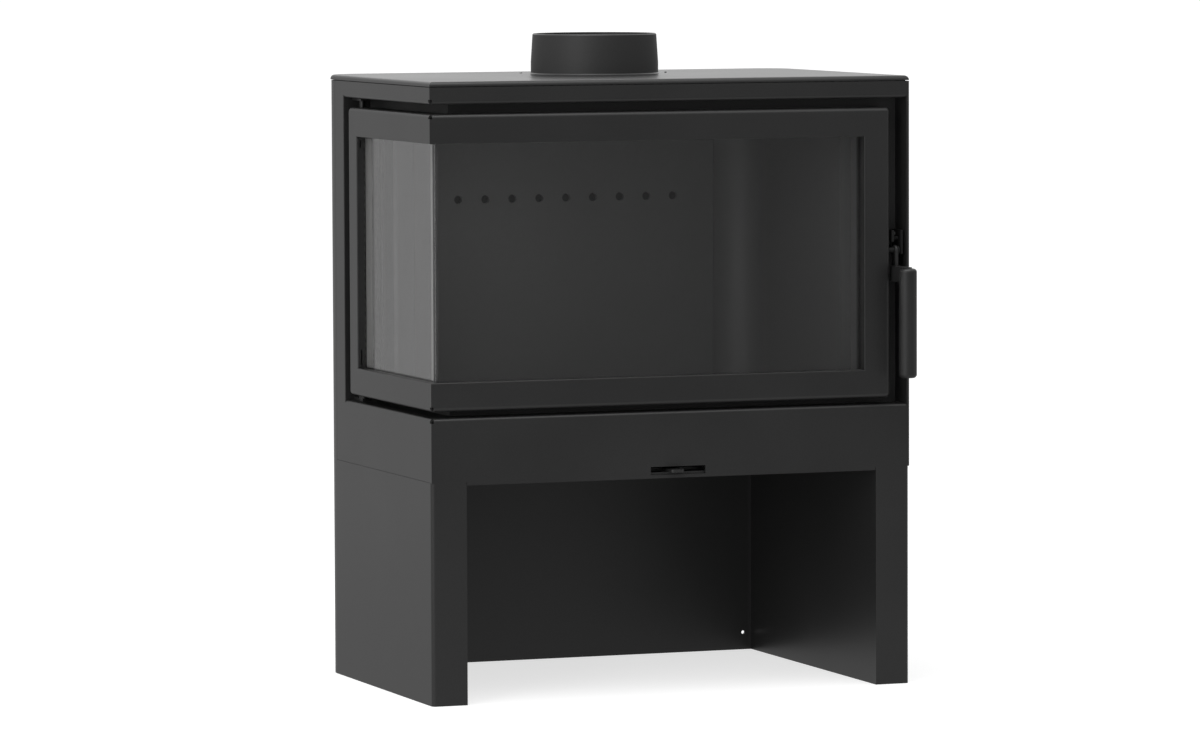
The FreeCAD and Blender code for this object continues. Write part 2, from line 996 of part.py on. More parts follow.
def door_front_outline():
    # The front of the door as one block, with its free edges and corners rounded.
    whole = block(door_left, door_right, 0, door_depth, door_bottom, door_top)
    soft = []
    for edge in whole.Edges:
        middle = edge.CenterOfMass
        on_face = on_level(middle.y, 0) and not on_level(middle.x, door_left)
        on_end = on_level(middle.x, door_right) and (
            on_level(middle.z, door_bottom) or on_level(middle.z, door_top)
        )
        if on_face or on_end:
            soft.append(edge)
    return whole.makeFillet(door_edge_radius, soft)


def door_side_outline():
    whole = block(door_left, door_left + door_depth, 0, door_rear, door_bottom, door_top)
    soft = []
    for edge in whole.Edges:
        middle = edge.CenterOfMass
        on_face = on_level(middle.x, door_left) and not on_level(middle.y, 0)
        on_end = on_level(middle.y, door_rear) and (
            on_level(middle.z, door_bottom) or on_level(middle.z, door_top)
        )
        if on_face or on_end:
            soft.append(edge)
    return whole.makeFillet(door_edge_radius, soft)


def door_front_rail(outer, width, inward):
    inner_edge = outer + inward * width
    rail = rounded_face(
        channel(width), lambda across, back: Vector(door_left, back, outer + inward * across)
    ).extrude(Vector(door_right - door_left, 0, 0))
    low = min(outer, inner_edge)
    plan = flat_prism(
        [
            (door_left, 0),
            (door_right, 0),
            (door_right, door_depth),
            (door_left + door_depth, door_depth),
        ],
        in_plan(low),
        Vector(0, 0, width),
    )
    elevation = flat_prism(
        [
            (door_left, outer),
            (door_right, outer),
            (open_right, inner_edge),
            (door_left, inner_edge),
        ],
        in_front_view(0),
        Vector(0, door_depth, 0),
    )
    return rail.common(plan).common(elevation).common(door_front_outline())


def door_side_rail(outer, width, inward):
    inner_edge = outer + inward * width
    rail = rounded_face(
        channel(width), lambda across, back: Vector(door_left + back, 0, outer + inward * across)
    ).extrude(Vector(0, door_rear, 0))
    low = min(outer, inner_edge)
    plan = flat_prism(
        [
            (door_left, 0),
            (door_left + door_depth, door_depth),
            (door_left + door_depth, door_rear),
            (door_left, door_rear),
        ],
        in_plan(low),
        Vector(0, 0, width),
    )
    elevation = flat_prism(
        [
            (0, outer),
            (door_rear, outer),
            (open_rear, inner_edge),
            (0, inner_edge),
        ],
        in_side_view(door_left),
        Vector(door_depth, 0, 0),
    )
    return rail.common(plan).common(elevation).common(door_side_outline())


def hinge_hole(z0, z1):
    return Part.makeCylinder(hinge_pin_radius + pin_clearance, z1 - z0, Vector(hinge_x, hinge_y, z0))


def upper_relief():
    return corner_notch(door_top - notch_height, door_top + overrun)


def lower_relief():
    return corner_notch(door_bottom - overrun, door_bottom + notch_height)


def door_front_top_rail():
    return door_front_rail(door_top, top_rail_width, -1).cut(upper_relief())


def door_front_bottom_rail():
    return door_front_rail(door_bottom, bottom_rail_width, 1).cut(lower_relief())


def door_side_top_rail():
    rail = door_side_rail(door_top, top_rail_width, -1).cut(upper_relief())
    return rail.cut(hinge_hole(door_top - door_sheet - overrun, door_top + overrun))


def door_side_bottom_rail():
    rail = door_side_rail(door_bottom, bottom_rail_width, 1).cut(lower_relief())
    return rail.cut(hinge_hole(door_bottom - overrun, door_bottom + door_sheet + overrun))


def door_right_stile():
    stile = rounded_face(
        channel(right_stile_width), lambda across, back: Vector(door_right - across, back, door_bottom)
    ).extrude(Vector(0, 0, door_top - door_bottom))
    elevation = flat_prism(
        [
            (door_right, door_bottom),
            (door_right, door_top),
            (open_right, open_top),
            (open_right, open_bottom),
        ],
        in_front_view(0),
        Vector(0, door_depth, 0),
    )
    return stile.common(elevation).common(door_front_outline())


def door_rear_stile():
    stile = rounded_face(
        channel(rear_stile_width),
        lambda across, back: Vector(door_left + back, door_rear - across, door_bottom),
    ).extrude(Vector(0, 0, door_top - door_bottom))
    elevation = flat_prism(
        [
            (door_rear, door_bottom),
            (door_rear, door_top),
            (open_rear, open_top),
            (open_rear, open_bottom),
        ],
        in_side_view(door_left),
        Vector(door_depth, 0, 0),
    )
    stile = stile.common(elevation).common(door_side_outline())
    slot_left = door_left + slot_depth
    slot_right = slot_left + slot_width
    slot_back = open_rear + door_sheet + overrun
    for z0, z1 in (
        (open_top - slot_end_gap - upper_slot_length, open_top - slot_end_gap),
        (open_bottom + slot_end_gap, open_bottom + slot_end_gap + lower_slot_length),
    ):
        stile = stile.cut(block(slot_left, slot_right, open_rear - overrun, slot_back, z0, z1))
    return stile


def door_back_front():
    plate = block(
        door_left + door_depth,
        door_right - door_sheet,
        door_back_face,
        door_depth,
        door_bottom + door_sheet,
        door_top - door_sheet,
    )
    window = block(
        door_left,
        open_right + back_window_margin,
        door_back_face - overrun,
        door_depth + overrun,
        open_bottom - back_window_margin,
        open_top + back_window_margin,
    )
    return plate.cut(window)


def door_back_side():
    inner = door_left + door_depth
    plate = block(
        inner - door_back_thickness,
        inner,
        door_back_face,
        door_rear - door_sheet,
        door_bottom + door_sheet,
        door_top - door_sheet,
    )
    window = block(
        door_left,
        inner + overrun,
        0,
        open_rear + back_window_margin,
        open_bottom - back_window_margin,
        open_top + back_window_margin,
    )
    plate = plate.cut(window)
    plate = plate.cut(hinge_hole(door_bottom, door_bottom + door_sheet + hinge_pin_reach))
    return plate.cut(hinge_hole(door_top - door_sheet - hinge_pin_reach, door_top))


def front_glass():
    return block(glass_left, glass_right, glass_face, glass_back, glass_bottom, glass_top)


def side_glass():
    return block(
        glass_left, glass_left + glass_thickness, side_glass_front, glass_rear, glass_bottom, glass_top
    )


def glass_corner_seal():
    return block(
        glass_left, glass_left + glass_thickness, glass_back, side_glass_front, glass_bottom, glass_top
    )


def glass_seals():
    low = open_bottom - glass_seal_width
    high = open_top + glass_seal_width
    front = block(glass_left, open_right + glass_seal_width, reveal_depth, glass_face, low, high)
    front_window = block(left_face, open_right, 0, glass_back, open_bottom, open_top)
    side_left = door_left + reveal_depth
    side = block(side_left, glass_left, glass_face, open_rear + glass_seal_width, low, high)
    side_window = block(left_face, glass_left + overrun, 0, open_rear, open_bottom, open_top)
    return Part.makeCompound([front.cut(front_window), side.cut(side_window)])


def spread(low, high):
    # Two places along a run, the same share in from each end.
    run = high - low
    return (low + run * clip_end_share, high - run * clip_end_share)


def glass_clips():
    half = clip_length / 2
    top = open_top + clip_edge_margin
    bottom = open_bottom - clip_edge_margin - clip_width
    side_left = glass_left + glass_thickness
    side_right = door_left + door_back_face
    clips = []
    for x in spread(glass_left, open_right):
        for z in (top, bottom):
            clips.append(block(x - half, x + half, glass_back, door_back_face, z, z + clip_width))
    for y in spread(side_glass_front, open_rear):
        for z in (top, bottom):
            clips.append(block(side_left, side_right, y - half, y + half, z, z + clip_width))
    right = open_right + clip_edge_margin
    rear = open_rear + clip_edge_margin
    for z in spread(open_bottom, open_top):
        clips.append(block(right, right + clip_width, glass_back, door_back_face, z - half, z + half))
        clips.append(block(side_left, side_right, rear, rear + clip_width, z - half, z + half))
    return Part.makeCompound(clips)


def door_seal():
    left = door_left + door_depth
    side_right = frame_left - running_gap
    right = door_right - seal_inset
    rear = door_rear - seal_inset
    bottom = door_bottom + seal_inset
    top = door_top - seal_inset
    strips = [
        block(right - seal_width, right, door_depth, seal_back, bottom, top),
        block(left, side_right, rear - seal_width, rear, bottom, top),
    ]
    for z in (bottom, top - seal_width):
        strips.append(block(left, right, door_depth, seal_back, z, z + seal_width))
        strips.append(block(left, side_right, seal_back, rear, z, z + seal_width))
    return joined(strips)


# Hinges


def hinge_brackets():
    brackets = []
    for z in (window_bottom, window_top - hinge_bracket_thickness):
        brackets.append(
            block(
                hinge_x - hinge_bracket_side,
                hinge_x + hinge_bracket_end,
                hinge_y - hinge_bracket_nose,
                column_front,
                z,
                z + hinge_bracket_thickness,
            )
        )
    return Part.makeCompound(brackets)


def hinge_pins():
    lower_seat = window_bottom + hinge_bracket_thickness
    collar_top = door_bottom - running_gap
    collar = Part.makeCylinder(
        hinge_collar_radius, collar_top - lower_seat, Vector(hinge_x, hinge_y, lower_seat)
    )
    lower = Part.makeCylinder(
        hinge_pin_radius, door_bottom + hinge_pin_reach - lower_seat, Vector(hinge_x, hinge_y, lower_seat)
    )
    upper_seat = window_top - hinge_bracket_thickness
    upper_end = door_top - hinge_pin_reach
    upper = Part.makeCylinder(
        hinge_pin_radius, upper_seat - upper_end, Vector(hinge_x, hinge_y, upper_end)
    )
    return Part.makeCompound([joined([collar, lower]), upper])


# Latch and handle


def latch_stud():
    pivot = Vector(door_right, pivot_from_front, pivot_height)
    shank = Part.makeCylinder(stud_radius, lever_right + running_gap - door_right, pivot, Vector(1, 0, 0))
    head_spot = Vector(lever_right + running_gap, pivot.y, pivot.z)
    head = Part.makeCylinder(stud_head_radius, stud_head_thickness, head_spot, Vector(1, 0, 0))
    return joined([shank, head])


def hook_ring(radius, angle0, angle1):
    # A flat sector of the lever's hook, seen from the side.
    start, middle, finish = (
        Vector(
            lever_left,
            pivot_from_front + radius * math.cos(math.radians(angle)),
            pivot_height + radius * math.sin(math.radians(angle)),
        )
        for angle in (angle0, (angle0 + angle1) / 2, angle1)
    )
    hub = Vector(lever_left, pivot_from_front, pivot_height)
    edges = [
        Part.LineSegment(hub, start).toShape(),
        Part.Arc(start, middle, finish).toShape(),
        Part.LineSegment(finish, hub).toShape(),
    ]
    return Part.Face(Part.Wire(edges)).extrude(Vector(lever_thickness, 0, 0))


def handle_lever():
    along = Vector(1, 0, 0)
    hub_spot = Vector(lever_left, pivot_from_front, pivot_height)
    hub = Part.makeCylinder(lever_hub_radius, lever_thickness, hub_spot, along)
    hub = hub.makeFillet(lever_edge_radius, [edge for edge in hub.Edges if edge.Closed])
    web = hook_ring(hook_outer_radius, hook_web_start, hook_web_end)
    hollow = hook_ring(
        hook_inner_radius, hook_web_start - hook_sweep_overrun, hook_tip + hook_sweep_overrun
    )
    finger = hook_ring(hook_outer_radius, hook_web_start, hook_tip).cut(hollow)
    bar = block(
        lever_left,
        lever_right,
        pivot_from_front - lever_width / 2,
        pivot_from_front + lever_width / 2,
        arm_bottom,
        pivot_height,
    )
    arm = block(
        grip_x - arm_thickness / 2,
        grip_x + arm_thickness / 2,
        -grip_standoff,
        pivot_from_front,
        arm_bottom,
        arm_top,
    )
    lever = joined([hub, web, finger, bar, arm])
    lever = lever.cut(
        Part.makeCylinder(
            stud_radius + pin_clearance, lever_thickness + overrun * 2, hub_spot - along * overrun, along
        )
    )
    return lever.cut(handle_grip())


def handle_grip():
    bottom = grip_top - grip_length
    corners = [
        (0, bottom, 0),
        (grip_radius, bottom, grip_edge_radius),
        (grip_radius, grip_top, grip_edge_radius),
        (0, grip_top, 0),
    ]
    half_section = rounded_face(
        corners, lambda radius, z: Vector(grip_x + radius, -grip_standoff, z)
    )
    return half_section.revolve(Vector(grip_x, -grip_standoff, 0), Vector(0, 0, 1), 360)


def keeper_rod(radius):
    left = bracket_left_inner - bracket_sheet
    length = bracket_inner_width + bracket_sheet * 2
    spot = Vector(left, keeper_from_front, keeper_height)
    return Part.makeCylinder(radius, length, spot, Vector(1, 0, 0))


def striker_bracket():
    left = bracket_left_inner - bracket_sheet
    right = bracket_right_inner + bracket_sheet
    base = block(
        left, right, frame_front - bracket_sheet, frame_front, bracket_right_bottom, bracket_top
    )
    left_wall = block(left, bracket_left_inner, bracket_front, frame_front, bracket_left_bottom, bracket_top)
    right_wall = block(
        bracket_right_inner, right, bracket_front, frame_front, bracket_right_bottom, bracket_top
    )
    return joined([base, left_wall, right_wall]).cut(keeper_rod(keeper_radius))


def keeper_pin():
    return keeper_rod(keeper_radius)


pieces = [
    base_left_cover,
    base_right_cover,
    base_left_inner,
    base_right_inner,
    base_back_panel,
    base_top_plate,
    base_foot_plates,
    casing_floor,
    lower_front_panel,
    top_front_fascia,
    left_side_panel,
    right_side_panel,
    rear_casing,
    top_plate,
    top_plate_gasket,
    top_plate_screws,
    flue_collar,
    flue_collar_bolts,
    frame_front_top,
    frame_front_bottom,
    frame_right_jamb,
    frame_side_top,
    frame_side_bottom,
    frame_rear_jamb,
    firebox_floor,
    firebox_back,
    firebox_right,
    firebox_roof,
    back_lining,
    right_lining,
    left_lining,
    hearth_bricks,
    grate,
    ash_box,
    ash_pan,
    baffle_plate,
    air_slide,
    air_rails,
    door_front_top_rail,
    door_front_bottom_rail,
    door_side_top_rail,
    door_side_bottom_rail,
    door_right_stile,
    door_rear_stile,
    door_back_front,
    door_back_side,
    front_glass,
    side_glass,
    glass_corner_seal,
    glass_seals,
    glass_clips,
    door_seal,
    hinge_brackets,
    hinge_pins,
    latch_stud,
    handle_lever,
    handle_grip,
    striker_bracket,
    keeper_pin,
]

os.makedirs("parts", exist_ok=True)
for piece in pieces:
    shape = piece()
    shape.translate(Vector(0, front_shift, 0))
    shape.exportStep(os.path.join("parts", piece.__name__ + ".step"))
    print(piece.__name__, len(shape.Solids), "solid" if shape.isValid() else "not valid", round(shape.Volume))
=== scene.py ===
import json
import math
import bmesh
import bpy
from mathutils import Matrix, Vector


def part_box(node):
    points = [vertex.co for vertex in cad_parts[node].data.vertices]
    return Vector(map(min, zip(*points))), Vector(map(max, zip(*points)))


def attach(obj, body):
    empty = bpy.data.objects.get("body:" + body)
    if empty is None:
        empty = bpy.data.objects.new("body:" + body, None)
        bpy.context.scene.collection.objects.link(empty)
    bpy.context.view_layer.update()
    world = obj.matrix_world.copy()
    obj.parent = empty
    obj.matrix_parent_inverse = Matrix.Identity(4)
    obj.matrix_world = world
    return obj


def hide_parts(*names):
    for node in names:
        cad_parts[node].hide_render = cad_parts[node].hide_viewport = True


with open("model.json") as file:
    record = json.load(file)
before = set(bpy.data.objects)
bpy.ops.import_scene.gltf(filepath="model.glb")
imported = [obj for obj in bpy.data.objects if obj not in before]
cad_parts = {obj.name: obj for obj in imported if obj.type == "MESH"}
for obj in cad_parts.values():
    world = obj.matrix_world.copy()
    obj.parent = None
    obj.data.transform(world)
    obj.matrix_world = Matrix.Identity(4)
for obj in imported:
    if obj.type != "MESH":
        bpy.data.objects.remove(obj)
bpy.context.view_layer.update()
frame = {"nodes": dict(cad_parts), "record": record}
print("frame loaded:", len(frame["nodes"]), "nodes")


# small helpers

def hexToLinear(code):
    parts = [int(code[i:i + 2], 16) / 255 for i in (1, 3, 5)]
    return [p / 12.92 if p <= 0.04045 else ((p + 0.055) / 1.055) ** 2.4 for p in parts] + [1.0]


def addNode(tree, kind, settings=None, inputs=None):
    # settings are the node's own options, inputs are socket values or the sockets that feed them
    node = tree.nodes.new(kind)
    for name, value in (settings or {}).items():
        setattr(node, name, value)
    for name, value in (inputs or {}).items():
        if isinstance(value, bpy.types.NodeSocket):
            tree.links.new(value, node.inputs[name])
        else:
            node.inputs[name].default_value = value
    return node


def startMaterial(name):
    material = bpy.data.materials.new(name)
    material.use_nodes = True
    tree = material.node_tree
    return material, tree, tree.nodes["Principled BSDF"]


mmPerMetre = 1000.0
weldGap = 0.000001      # points nearer than this become one, in metres


def perMetre(sizeMm):
    return mmPerMetre / sizeMm


def makePiece(name, bm, material, body, *nodes):
    bmesh.ops.remove_doubles(bm, verts=bm.verts, dist=weldGap)
    bmesh.ops.recalc_face_normals(bm, faces=bm.faces)
    mesh = bpy.data.meshes.new(name)
    bm.to_mesh(mesh)
    bm.free()
    piece = bpy.data.objects.new(name, mesh)
    bpy.context.scene.collection.objects.link(piece)
    mesh.materials.append(material)
    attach(piece, body)
    if nodes:
        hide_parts(*nodes)
    return piece


# finishes

stovePaint = {
    "colour": "#1f1f1f",
    "paler": "#242424",
    "roughness": (0.325, 0.355),
    "specular": 0.5,
    "grainMm": 2.6,     # real spray grain is finer, drawn coarse enough to show
    "cloudMm": 160.0,
    "reliefMm": 0.05,
}

# how every sprayed coat varies over the sheet
sprayPattern = {
    "cloudDetail": 3.0,
    "cloudRough": 0.5,
    "grainDetail": 2.0,
    "tintFrom": 0.12,
    "tintTo": 0.40,
    "dullFrom": 0.3,
    "dullTo": 0.7,
    "reliefStrength": 0.6,
}


def makePaint(name, finish):
    # heat-proof silicone paint sprayed on sheet steel: dull, even, with a faint dry grain
    material, tree, shader = startMaterial(name)
    place = addNode(tree, "ShaderNodeTexCoord").outputs["Object"]
    cloud = addNode(tree, "ShaderNodeTexNoise", inputs={
        "Vector": place, "Scale": perMetre(finish["cloudMm"]),
        "Detail": sprayPattern["cloudDetail"], "Roughness": sprayPattern["cloudRough"]})
    grain = addNode(tree, "ShaderNodeTexNoise", inputs={
        "Vector": place, "Scale": perMetre(finish["grainMm"]), "Detail": sprayPattern["grainDetail"]})
    both = addNode(tree, "ShaderNodeMath", {"operation": "MULTIPLY"}, {
        0: cloud.outputs["Fac"], 1: grain.outputs["Fac"]})
    spread = addNode(tree, "ShaderNodeMapRange", inputs={
        "Value": both.outputs[0],
        "From Min": sprayPattern["tintFrom"], "From Max": sprayPattern["tintTo"]})
    colour = addNode(tree, "ShaderNodeMix", {"data_type": "RGBA"}, {
        "Factor": spread.outputs[0],
        6: hexToLinear(finish["colour"]), 7: hexToLinear(finish["paler"])})
    dull = addNode(tree, "ShaderNodeMapRange", inputs={
        "Value": cloud.outputs["Fac"],
        "From Min": sprayPattern["dullFrom"], "From Max": sprayPattern["dullTo"],
        "To Min": finish["roughness"][0], "To Max": finish["roughness"][1]})
    relief = addNode(tree, "ShaderNodeBump", inputs={
        "Height": grain.outputs["Fac"], "Distance": finish["reliefMm"] / mmPerMetre,
        "Strength": sprayPattern["reliefStrength"]})
    tree.links.new(colour.outputs[2], shader.inputs["Base Color"])
    tree.links.new(dull.outputs[0], shader.inputs["Roughness"])
    tree.links.new(relief.outputs[0], shader.inputs["Normal"])
    shader.inputs["Specular IOR Level"].default_value = finish["specular"]
    return material


# the collar takes a drier coat than the sheet round it; its turned edges take a paler coat, a painted
# highlight
collarPaint = dict(stovePaint, roughness=(0.52, 0.56))
collarHighlightPaint = dict(stovePaint, colour="#323232", paler="#373737")

# the top is sprayed lying flat, so its coat flows out a little smoother
topPaint = dict(stovePaint, roughness=(0.295, 0.325))

fireboxPaint = {
    "colour": "#2c2c2c",
    "paler": "#313131",
    "roughness": (0.60, 0.68),
    "specular": 0.35,
    "grainMm": 3.0,
    "cloudMm": 120.0,
    "reliefMm": 0.03,
}

# striker and pins of the latch, blackened in the bath before they are fitted
latchBlack = dict(fireboxPaint, colour="#131313", paler="#161616", specular=0.25)

# lining plates, a greyer dry coat that the fire has never touched
liningCoat = {
    "colour": "#4f4f4f",
    "paler": "#535353",
    "roughness": (0.50, 0.54),
    "specular": 0.4,
    "grainMm": 3.0,
    "cloudMm": 180.0,
    "reliefMm": 0.001,
}

# the lining coat made darker for the right lining and the firebox's right wall, painted shade against
# the light that falls on their front part
shadedSideLiningCoat = dict(liningCoat, colour="#474747", paler="#4b4b4b")

# back of the air duct behind the lining, which no light reaches; its coat is paler than the firebox
# coat, painted light in place of the light it lacks
paintedLightDuctCoat = {
    "colour": "#343434",
    "paler": "#383838",
    "roughness": (0.75, 0.85),
    "specular": 0.2,
    "grainMm": 3.0,
    "cloudMm": 120.0,
    "reliefMm": 0.02,
}

gripCoat = {
    "colour": "#1d1d1d",
    "paler": "#212121",
    "roughness": (0.40, 0.45),
    "specular": 0.5,
    "grainMm": 1.8,
    "cloudMm": 60.0,
    "reliefMm": 0.02,
}

castIron = {
    "colour": "#2b2a29",
    "paler": "#3a3836",
    "roughness": 0.62,
    "metallic": 0.6,
    "grainMm": 2.2,
    "grainDetail": 4.0,
    "grainRough": 0.65,
    "reliefMm": 0.35,
    "reliefStrength": 0.8,
}


def makeCastIron(name, finish):
    # sand-cast iron: coarse skin, a little brighter on the high grains
    material, tree, shader = startMaterial(name)
    place = addNode(tree, "ShaderNodeTexCoord").outputs["Object"]
    skin = addNode(tree, "ShaderNodeTexNoise", inputs={
        "Vector": place, "Scale": perMetre(finish["grainMm"]),
        "Detail": finish["grainDetail"], "Roughness": finish["grainRough"]})
    colour = addNode(tree, "ShaderNodeMix", {"data_type": "RGBA"}, {
        "Factor": skin.outputs["Fac"],
        6: hexToLinear(finish["colour"]), 7: hexToLinear(finish["paler"])})
    relief = addNode(tree, "ShaderNodeBump", inputs={
        "Height": skin.outputs["Fac"], "Distance": finish["reliefMm"] / mmPerMetre,
        "Strength": finish["reliefStrength"]})
    tree.links.new(colour.outputs[2], shader.inputs["Base Color"])
    tree.links.new(relief.outputs[0], shader.inputs["Normal"])
    shader.inputs["Metallic"].default_value = finish["metallic"]
    shader.inputs["Roughness"].default_value = finish["roughness"]
    return material


vermiculite = {
    "flake": "#464544",
    "binder": "#3a3938",
    "roughness": 0.9,
    "flakeMm": 3.0,
    "reliefMm": 0.4,
    "reliefStrength": 0.5,
}


def makeVermiculite(name, finish):
    # pressed vermiculite board: small mica flakes in a darker binder, quite matt
    material, tree, shader = startMaterial(name)
    place = addNode(tree, "ShaderNodeTexCoord").outputs["Object"]
    flakes = addNode(tree, "ShaderNodeTexVoronoi", inputs={
        "Vector": place, "Scale": perMetre(finish["flakeMm"])})
    shade = addNode(tree, "ShaderNodeSeparateColor", inputs={"Color": flakes.outputs["Color"]})
    colour = addNode(tree, "ShaderNodeMix", {"data_type": "RGBA"}, {
        "Factor": shade.outputs[0],
        6: hexToLinear(finish["binder"]), 7: hexToLinear(finish["flake"])})
    relief = addNode(tree, "ShaderNodeBump", inputs={
        "Height": shade.outputs[0], "Distance": finish["reliefMm"] / mmPerMetre,
        "Strength": finish["reliefStrength"]})
    tree.links.new(colour.outputs[2], shader.inputs["Base Color"])
    tree.links.new(relief.outputs[0], shader.inputs["Normal"])
    shader.inputs["Roughness"].default_value = finish["roughness"]
    return material


fibreRope = {
    "colour": "#3a3a38",
    "dark": "#1c1c1b",
    "roughness": 0.95,
    "strandMm": 3.2,
    "strandsPerScale": 6.0,     # about what the wave node draws at a scale of one
    "wobble": 1.2,
    "reliefMm": 0.6,
    "reliefStrength": 0.8,
}


def makeFibreRope(name, finish):
    # knitted glass fibre, as rope or tape: two crossing sets of strands, quite matt
    material, tree, shader = startMaterial(name)
    place = addNode(tree, "ShaderNodeTexCoord").outputs["Object"]
    scale = perMetre(finish["strandMm"]) / finish["strandsPerScale"]
    left = addNode(tree, "ShaderNodeTexWave", {"bands_direction": "DIAGONAL"}, {
        "Vector": place, "Scale": scale, "Distortion": finish["wobble"]})
    flipped = addNode(tree, "ShaderNodeMapping", inputs={"Vector": place, "Scale": (-1.0, 1.0, -1.0)})
    right = addNode(tree, "ShaderNodeTexWave", {"bands_direction": "DIAGONAL"}, {
        "Vector": flipped.outputs[0], "Scale": scale, "Distortion": finish["wobble"]})
    knit = addNode(tree, "ShaderNodeMath", {"operation": "MAXIMUM"}, {
        0: left.outputs["Fac"], 1: right.outputs["Fac"]})
    colour = addNode(tree, "ShaderNodeMix", {"data_type": "RGBA"}, {
        "Factor": knit.outputs[0],
        6: hexToLinear(finish["dark"]), 7: hexToLinear(finish["colour"])})
    relief = addNode(tree, "ShaderNodeBump", inputs={
        "Height": knit.outputs[0], "Distance": finish["reliefMm"] / mmPerMetre,
        "Strength": finish["reliefStrength"]})
    tree.links.new(colour.outputs[2], shader.inputs["Base Color"])
    tree.links.new(relief.outputs[0], shader.inputs["Normal"])
    shader.inputs["Roughness"].default_value = finish["roughness"]
    return material


# thin grey tape of the same fibre, on the edges of the side pane
fibreTape = dict(fibreRope, colour="#838382", dark="#7e7e7d", strandMm=0.9, reliefMm=0.03)

# grey sealant in the joint between the two panes
paneSealant = {
    "colour": "#3c3c3c",
    "paler": "#404040",
    "roughness": (0.60, 0.66),
    "specular": 0.3,
    "grainMm": 2.0,
    "cloudMm": 60.0,
    "reliefMm": 0.01,
}

turnedSteel = {
    "colour": "#3a3a3a",
    "paler": "#464646",
    "roughness": 0.45,
    "metallic": 1.0,
    "markMm": 1.2,
    "markDetail": 2.0,
}

# zinc plated screws are much brighter
zincSteel = dict(turnedSteel, colour="#9a9a9a", paler="#a4a4a4")


def makeTurnedSteel(name, finish):
    # turned steel: grey metal with fine marks left by the tool
    material, tree, shader = startMaterial(name)
    place = addNode(tree, "ShaderNodeTexCoord").outputs["Object"]
    marks = addNode(tree, "ShaderNodeTexNoise", inputs={
        "Vector": place, "Scale": perMetre(finish["markMm"]), "Detail": finish["markDetail"]})
    colour = addNode(tree, "ShaderNodeMix", {"data_type": "RGBA"}, {
        "Factor": marks.outputs["Fac"],
        6: hexToLinear(finish["colour"]), 7: hexToLinear(finish["paler"])})
    tree.links.new(colour.outputs[2], shader.inputs["Base Color"])
    shader.inputs["Metallic"].default_value = finish["metallic"]
    shader.inputs["Roughness"].default_value = finish["roughness"]
    return material


ceramicGlass = {
    "tint": "#f2f2f2",
    "ior": 1.5,
    "roughness": (0.0, 0.012),
    "smearMm": 90.0,
    "smearDetail": 5.0,
    "smearRough": 0.6,
    "smearFrom": 0.45,
    "smearTo": 0.75,
}


def makeCeramicGlass(name, finish):
    # clear ceramic glass, polished, with a trace of smear; lamps reach the firebox through it
    material, tree, shader = startMaterial(name)
    place = addNode(tree, "ShaderNodeTexCoord").outputs["Object"]
    smear = addNode(tree, "ShaderNodeTexNoise", inputs={
        "Vector": place, "Scale": perMetre(finish["smearMm"]),
        "Detail": finish["smearDetail"], "Roughness": finish["smearRough"]})
    haze = addNode(tree, "ShaderNodeMapRange", inputs={
        "Value": smear.outputs["Fac"],
        "From Min": finish["smearFrom"], "From Max": finish["smearTo"],
        "To Min": finish["roughness"][0], "To Max": finish["roughness"][1]})
    tree.links.new(haze.outputs[0], shader.inputs["Roughness"])
    shader.inputs["Base Color"].default_value = hexToLinear(finish["tint"])
    shader.inputs["Transmission Weight"].default_value = 1.0
    shader.inputs["IOR"].default_value = finish["ior"]
    ray = addNode(tree, "ShaderNodeLightPath")
    light = addNode(tree, "ShaderNodeMath", {"operation": "MAXIMUM"}, {
        0: ray.outputs["Is Shadow Ray"], 1: ray.outputs["Is Diffuse Ray"]})
    clear = addNode(tree, "ShaderNodeBsdfTransparent", inputs={"Color": hexToLinear(finish["tint"])})
    pane = addNode(tree, "ShaderNodeMixShader", inputs={
        0: light.outputs[0], 1: shader.outputs[0], 2: clear.outputs[0]})
    tree.links.new(pane.outputs[0], tree.nodes["Material Output"].inputs["Surface"])
    return material


finishes = {
    "stovePaint": makePaint("matt_black_stove_paint", stovePaint),
    "collarPaint": makePaint("dry_black_collar_paint", collarPaint),
    "collarHighlightPaint": makePaint("painted_highlight_collar_edge", collarHighlightPaint),
    "topPaint": makePaint("smooth_black_top_paint", topPaint),
    "fireboxPaint": makePaint("firebox_black_coat", fireboxPaint),
    "latchBlack": makePaint("blackened_latch_steel", latchBlack),
    "liningCoat": makePaint("dry_grey_lining_coat", liningCoat),
    "shadedSideLiningCoat": makePaint("painted_shade_side_lining_coat", shadedSideLiningCoat),
    "paintedLightDuctCoat": makePaint("painted_light_duct_coat", paintedLightDuctCoat),
    "gripCoat": makePaint("satin_black_powder_coat", gripCoat),
    "castIron": makeCastIron("sand_cast_iron", castIron),
    "vermiculite": makeVermiculite("vermiculite_board", vermiculite),
    "fibreRope": makeFibreRope("graphite_fibre_rope", fibreRope),
    "fibreTape": makeFibreRope("pale_fibre_tape", fibreTape),
    "paneSealant": makePaint("grey_glazing_sealant", paneSealant),
    "turnedSteel": makeTurnedSteel("blackened_turned_steel", turnedSteel),
    "zincSteel": makeTurnedSteel("zinc_plated_screw_steel", zincSteel),
    "ceramicGlass": makeCeramicGlass("clear_ceramic_glass", ceramicGlass),
}
print("finishes made:", len(finishes))

# which record slot shows which finish
slotFinish = {
    "stove_paint": "stovePaint",
    "firebox_steel": "fireboxPaint",
    "cast_iron": "castIron",
    "firebrick": "vermiculite",
    "glass": "ceramicGlass",
    "seal_rope": "fibreRope",
    "handle_paint": "gripCoat",
    "bare_steel": "turnedSteel",
}

for part in frame["record"]["subparts"]:
    meshData = frame["nodes"][part["node"]].data
    meshData.materials.clear()
    meshData.materials.append(finishes[slotFinish[part["material_slot"]]])

